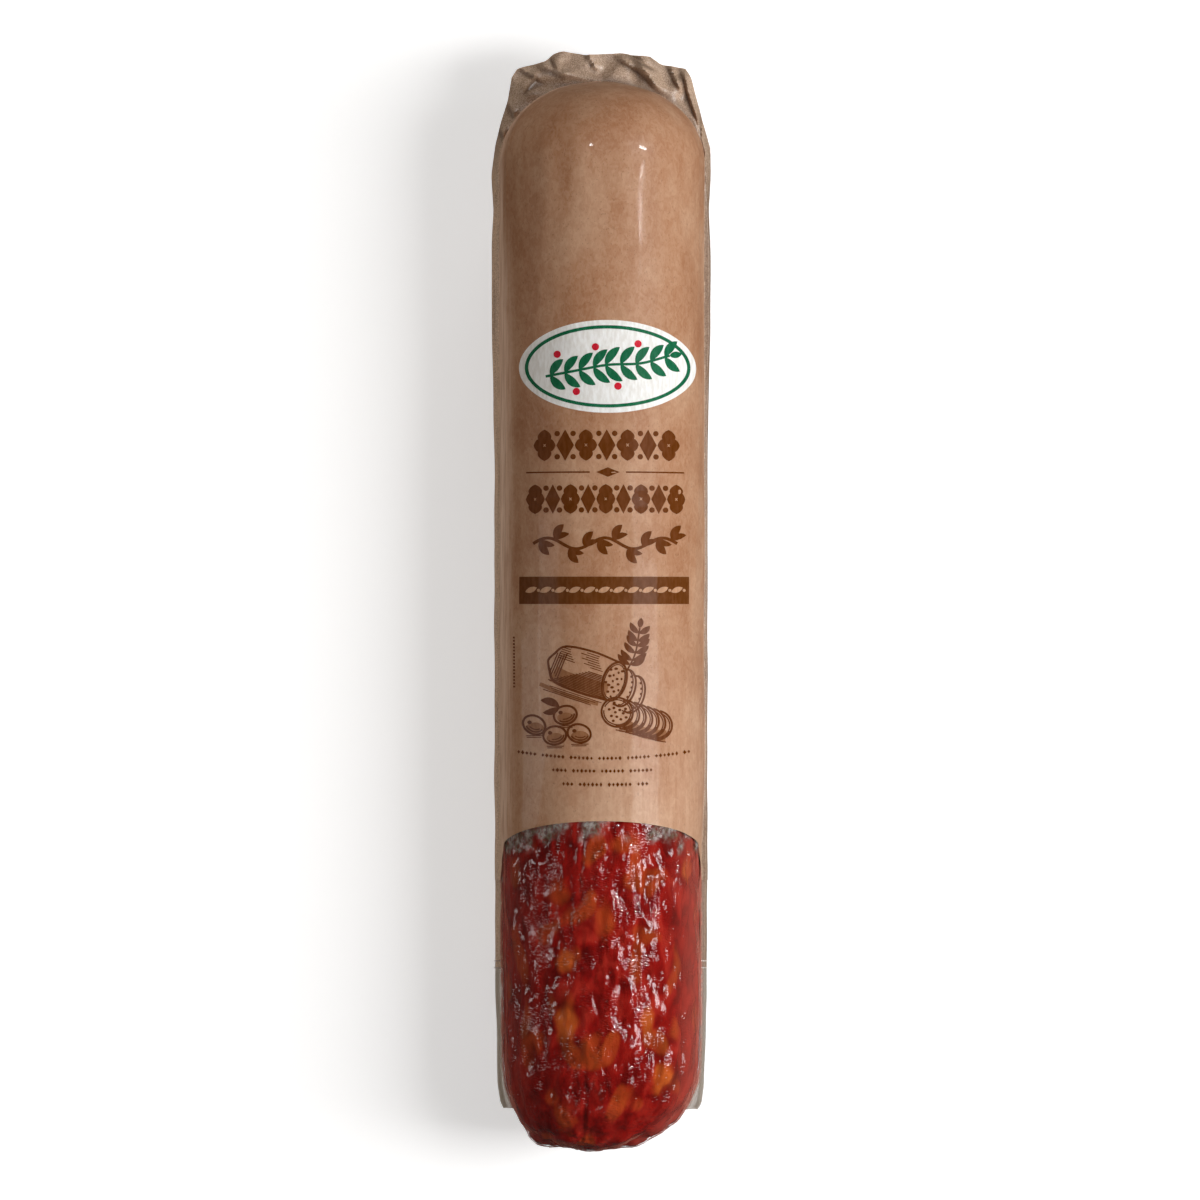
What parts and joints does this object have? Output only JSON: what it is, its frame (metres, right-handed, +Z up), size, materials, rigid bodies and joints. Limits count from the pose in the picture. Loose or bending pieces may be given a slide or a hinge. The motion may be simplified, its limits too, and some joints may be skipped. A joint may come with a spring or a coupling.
{
  "type": "cured sausage",
  "caption": "Cured sausage lying in a tight vacuum pouch: a straight, round-ended stick under a printed upper film with a clear window over its blunt end.",
  "frame": {"origin": "on the resting surface, under the middle of the pouch's outline", "axes": "+Y along the sausage towards the crumpled sealed end, +X across it, +Z up through the printed side"},
  "size_m": [0.061, 0.3056, 0.0544],
  "materials": {
    "sausage": "satin",
    "upper_film": "gloss",
    "lower_film": "gloss"
  },
  "bodies": {
    "root": {"sausage": "sausage", "upper_film": "upper_film", "lower_film": "lower_film"}
  },
  "joints": []
}
